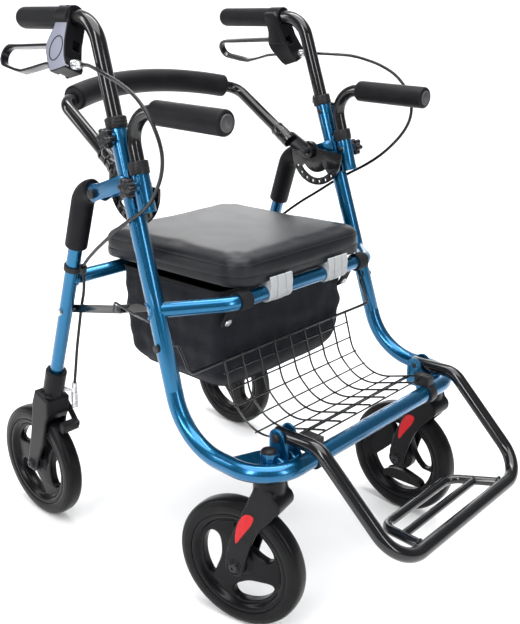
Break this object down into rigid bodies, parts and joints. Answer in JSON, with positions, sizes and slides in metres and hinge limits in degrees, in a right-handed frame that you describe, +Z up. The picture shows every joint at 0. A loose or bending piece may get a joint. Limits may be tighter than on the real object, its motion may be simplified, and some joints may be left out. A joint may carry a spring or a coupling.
{
  "type": "rollator walker",
  "caption": "Folding four-wheeled walking frame with seat, curved backrest, armrests, loop brake levers, bag, wire basket and fold-up footrest.",
  "frame": {"origin": "on the floor, under the centre of the whole object's box", "axes": "+Z up, +Y towards the push handles at the rear, -Y towards the footrest at the front, +X the walker's side whose caster points almost straight back"},
  "size_m": [0.5594, 0.8029, 0.8495],
  "materials": {
    "candy_blue_paint": "gloss candy metallic",
    "gloss_black_paint": "gloss",
    "gloss_black_plastic": "gloss",
    "black_plastic": "satin",
    "grey_plastic": "satin",
    "grey_cover": "satin",
    "black_foam": "matte, fine cell foam",
    "black_vinyl": "fine grain, soft sheen",
    "bag_fabric": "woven, matte",
    "cable_sheath": "semi gloss",
    "zinc_steel": "plated",
    "black_wheel": "satin"
  },
  "bodies": {
    "frame": {"side_tube_left": "candy_blue_paint", "side_tube_right": "candy_blue_paint", "front_hoop": "candy_blue_paint", "seat_bar": "candy_blue_paint", "leg_brackets": "candy_blue_paint", "caster_mounts": "candy_blue_paint", "arm_sleeves": "candy_blue_paint", "tube_collars": "black_plastic", "back_plates": "gloss_black_paint", "frame_bolts": "zinc_steel", "webbing_loops": "bag_fabric", "bag": "bag_fabric", "basket_rod": "gloss_black_paint", "basket": "gloss_black_paint", "basket_clips": "black_plastic", "brake_cable_left": "cable_sheath", "brake_cable_right": "cable_sheath"},
    "backrest": {"backrest_tube": "gloss_black_paint", "backrest_pad": "black_foam", "backrest_arms": "gloss_black_paint"},
    "seat": {"seat_board": "black_plastic", "seat_pad": "black_vinyl", "seat_hinges": "grey_plastic"},
    "rear_frame": {"rear_leg_left": "candy_blue_paint", "rear_leg_right": "candy_blue_paint", "rear_crossbar": "candy_blue_paint", "leg_sleeves": "black_foam", "rear_fork_left": "gloss_black_plastic", "rear_fork_right": "gloss_black_plastic", "rear_fittings": "zinc_steel"},
    "front_stays": {"front_stays": "gloss_black_paint"},
    "rear_stays": {"rear_stays": "gloss_black_paint"},
    "footrest": {"footrest_frame": "gloss_black_paint", "footrest_platform": "gloss_black_paint"},
    "handle_left": {"handle_tube_left": "gloss_black_paint", "grip_left": "black_foam", "brake_housing_left": "grey_cover", "cable_adjuster_left": "zinc_steel"},
    "lever_left": {"brake_lever_left": "gloss_black_plastic"},
    "height_knob_left": {"height_knob_left": "black_plastic"},
    "arm_knob_left": {"arm_knob_left": "black_plastic"},
    "armrest_left": {"armrest_tube_left": "gloss_black_paint", "armrest_pad_left": "black_foam"},
    "rear_wheel_left": {"rear_wheel_left": "black_wheel"},
    "brake_shoe_left": {"brake_shoe_left": "gloss_black_plastic"},
    "caster_left": {"caster_fork_left": "gloss_black_plastic"},
    "front_wheel_left": {"front_wheel_left": "black_wheel"},
    "handle_right": {"handle_tube_right": "gloss_black_paint", "grip_right": "black_foam", "brake_housing_right": "grey_cover", "cable_adjuster_right": "zinc_steel"},
    "lever_right": {"brake_lever_right": "gloss_black_plastic"},
    "height_knob_right": {"height_knob_right": "black_plastic"},
    "arm_knob_right": {"arm_knob_right": "black_plastic"},
    "armrest_right": {"armrest_tube_right": "gloss_black_paint", "armrest_pad_right": "black_foam"},
    "rear_wheel_right": {"rear_wheel_right": "black_wheel"},
    "brake_shoe_right": {"brake_shoe_right": "gloss_black_plastic"},
    "caster_right": {"caster_fork_right": "gloss_black_plastic"},
    "front_wheel_right": {"front_wheel_right": "black_wheel"}
  },
  "joints": [
    {"name": "rear_fold", "type": "hinge", "parent": "frame", "child": "rear_frame", "pos_m": [0, 0.1025, 0.598], "axis": [-1, 0, 0], "range_deg": [0, 25], "deforming": ["bag", "brake_cable_left", "brake_cable_right"]},
    {"name": "front_stay_swing", "type": "hinge", "parent": "frame", "child": "front_stays", "pos_m": [0, -0.008, 0.45], "axis": [1, 0, 0], "range_deg": [0, 44.5]},
    {"name": "rear_stay_swing", "type": "hinge", "parent": "rear_frame", "child": "rear_stays", "pos_m": [0, 0.203, 0.398], "axis": [-1, 0, 0], "range_deg": [0, 36.5]},
    {"name": "seat_flip", "type": "hinge", "parent": "frame", "child": "seat", "pos_m": [0, -0.089, 0.457], "axis": [1, 0, 0], "range_deg": [0, 92]},
    {"name": "backrest_flip", "type": "hinge", "parent": "frame", "child": "backrest", "pos_m": [0, 0.07, 0.612], "axis": [1, 0, 0], "range_deg": [0, 90]},
    {"name": "footrest_fold", "type": "hinge", "parent": "frame", "child": "footrest", "pos_m": [0, -0.196, 0.297], "axis": [-1, 0, 0], "range_deg": [0, 115]},
    {"name": "handle_slide_left", "type": "slide", "parent": "frame", "child": "handle_left", "axis": [0.0364, 0.3028, 0.9523], "range_m": [-0.025, 0.075], "deforming": ["brake_cable_left"]},
    {"name": "lever_squeeze_left", "type": "hinge", "parent": "handle_left", "child": "lever_left", "pos_m": [-0.23664, 0.1538, 0.78504], "axis": [0.9225, 0, -0.3859], "range_deg": [0, 7], "stiffness_Nm_per_rad": 1.5, "springref_deg": -2.86},
    {"name": "height_knob_turn_left", "type": "hinge", "parent": "frame", "child": "height_knob_left", "pos_m": [-0.246, 0.05658, 0.68], "axis": [-1, 0, 0], "continuous": true},
    {"name": "armrest_slide_left", "type": "slide", "parent": "frame", "child": "armrest_left", "axis": [0.0281, 0.2695, 0.9626], "range_m": [-0.012, 0.024]},
    {"name": "arm_knob_turn_left", "type": "hinge", "parent": "frame", "child": "arm_knob_left", "pos_m": [-0.25, 0.01017, 0.62], "axis": [-1, 0, 0], "continuous": true},
    {"name": "rear_wheel_spin_left", "type": "hinge", "parent": "rear_frame", "child": "rear_wheel_left", "pos_m": [-0.2385, 0.3015, 0.1], "axis": [1, 0, 0], "continuous": true},
    {"name": "brake_shoe_swing_left", "type": "hinge", "parent": "rear_frame", "child": "brake_shoe_left", "pos_m": [-0.2135, 0.25157, 0.21828], "axis": [1, 0, 0], "range_deg": [0, 5]},
    {"name": "caster_swivel_left", "type": "hinge", "parent": "frame", "child": "caster_left", "pos_m": [-0.202, -0.2, 0.27], "axis": [0, 0, 1], "continuous": true},
    {"name": "front_wheel_spin_left", "type": "hinge", "parent": "caster_left", "child": "front_wheel_left", "pos_m": [-0.21115, -0.15696, 0.1], "axis": [0.9781, 0.2079, 0], "continuous": true},
    {"name": "handle_slide_right", "type": "slide", "parent": "frame", "child": "handle_right", "axis": [-0.0364, 0.3028, 0.9523], "range_m": [-0.025, 0.075], "deforming": ["brake_cable_right"]},
    {"name": "lever_squeeze_right", "type": "hinge", "parent": "handle_right", "child": "lever_right", "pos_m": [0.23664, 0.1538, 0.78504], "axis": [0.9225, 0, 0.3859], "range_deg": [0, 7], "stiffness_Nm_per_rad": 1.5, "springref_deg": -2.86},
    {"name": "height_knob_turn_right", "type": "hinge", "parent": "frame", "child": "height_knob_right", "pos_m": [0.246, 0.05658, 0.68], "axis": [1, 0, 0], "continuous": true},
    {"name": "armrest_slide_right", "type": "slide", "parent": "frame", "child": "armrest_right", "axis": [-0.0281, 0.2695, 0.9626], "range_m": [-0.012, 0.024]},
    {"name": "arm_knob_turn_right", "type": "hinge", "parent": "frame", "child": "arm_knob_right", "pos_m": [0.25, 0.01017, 0.62], "axis": [1, 0, 0], "continuous": true},
    {"name": "rear_wheel_spin_right", "type": "hinge", "parent": "rear_frame", "child": "rear_wheel_right", "pos_m": [0.2385, 0.3015, 0.1], "axis": [1, 0, 0], "continuous": true},
    {"name": "brake_shoe_swing_right", "type": "hinge", "parent": "rear_frame", "child": "brake_shoe_right", "pos_m": [0.2135, 0.25157, 0.21828], "axis": [1, 0, 0], "range_deg": [0, 5]},
    {"name": "caster_swivel_right", "type": "hinge", "parent": "frame", "child": "caster_right", "pos_m": [0.202, -0.2, 0.27], "axis": [0, 0, 1], "continuous": true},
    {"name": "front_wheel_spin_right", "type": "hinge", "parent": "caster_right", "child": "front_wheel_right", "pos_m": [0.20277, -0.15601, 0.1], "axis": [0.9998, -0.0175, 0], "continuous": true}
  ],
  "couplings": [
    {"joint": "front_stay_swing", "follows": "rear_fold", "ratio": 1.764},
    {"joint": "rear_stay_swing", "follows": "rear_fold", "ratio": 1.436},
    {"joint": "brake_shoe_swing_left", "follows": "lever_squeeze_left", "ratio": 0.7},
    {"joint": "brake_shoe_swing_right", "follows": "lever_squeeze_right", "ratio": 0.7}
  ]
}
